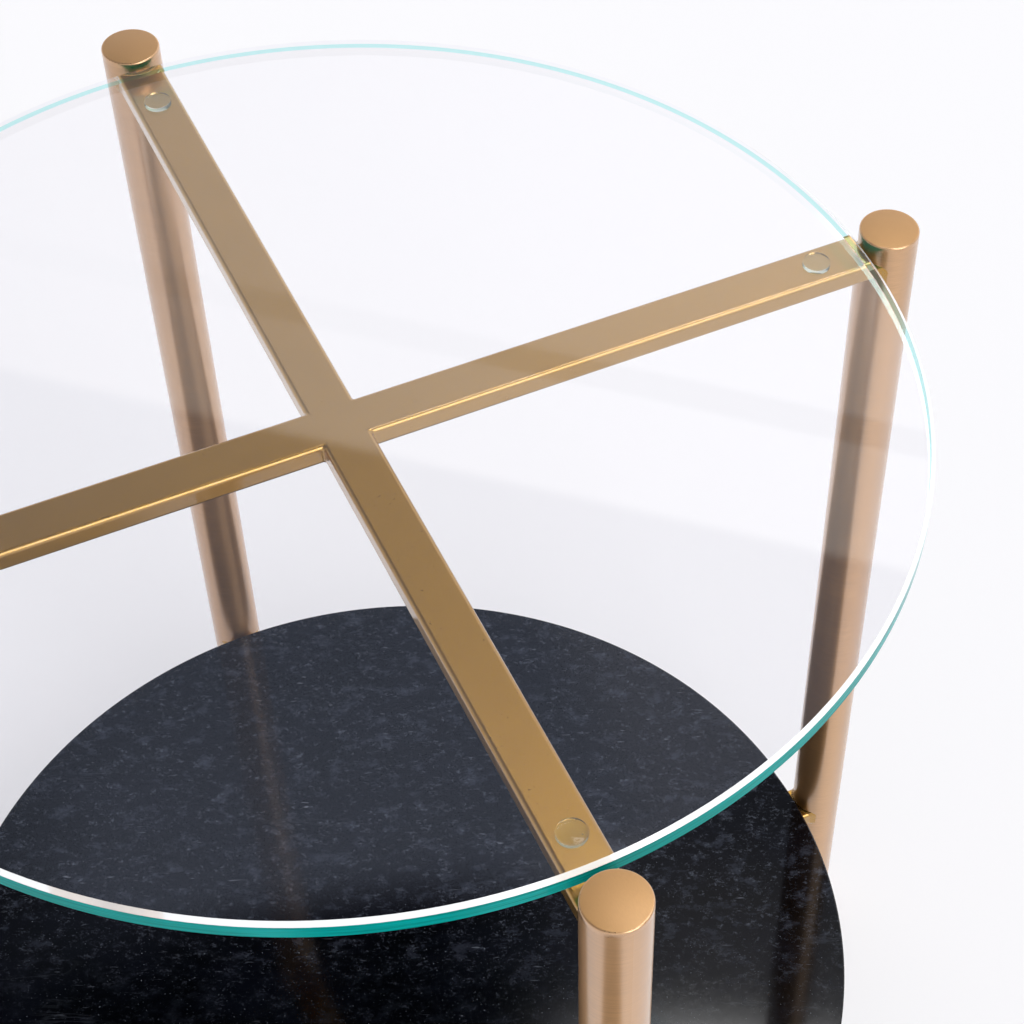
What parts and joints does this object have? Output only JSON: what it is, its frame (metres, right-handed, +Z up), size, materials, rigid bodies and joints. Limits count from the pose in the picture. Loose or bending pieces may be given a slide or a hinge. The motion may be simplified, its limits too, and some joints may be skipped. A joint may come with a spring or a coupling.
{
  "type": "tiered side table",
  "caption": "Round two-tier side table: satin gold tube frame with crossed flat rails, loose clear glass top and loose black marble shelf on clear bumpers.",
  "frame": {"origin": "on the floor, under the middle of the table", "axes": "+Z up; X runs from the left leg to the right leg, Y from the front leg to the back leg"},
  "size_m": [0.57, 0.57, 0.56],
  "materials": {
    "gold_frame": "satin champagne gold, lacquered steel",
    "gold_weld": "satin champagne gold over weld",
    "clear_glass": "clear float glass with a polished bevel and a green edge",
    "black_marble": "honed black marble with fine pale flecks",
    "clear_bumper": "clear soft polyurethane",
    "black_plastic": "moulded black polyethylene"
  },
  "bodies": {
    "frame": {"leg_right": "gold_frame", "leg_back": "gold_frame", "leg_left": "gold_frame", "leg_front": "gold_frame", "leg_caps": "gold_frame", "foot_glides": "black_plastic", "upper_rail_front_to_back": "gold_frame", "upper_rail_right": "gold_frame", "upper_rail_left": "gold_frame", "upper_leg_welds": "gold_weld", "upper_center_welds": "gold_weld", "glass_bumpers": "clear_bumper", "lower_rail_front_to_back": "gold_frame", "lower_rail_right": "gold_frame", "lower_rail_left": "gold_frame", "lower_leg_welds": "gold_weld", "lower_center_welds": "gold_weld", "shelf_bumpers": "clear_bumper"},
    "glass_top": {"glass_top": "clear_glass"},
    "marble_shelf": {"marble_shelf": "black_marble"}
  },
  "joints": [
    {"name": "glass_lift", "type": "slide", "parent": "frame", "child": "glass_top", "axis": [0, 0, 1], "range_m": [0, 0.1]},
    {"name": "shelf_lift", "type": "slide", "parent": "frame", "child": "marble_shelf", "axis": [0, 0, 1], "range_m": [0, 0.42]}
  ]
}
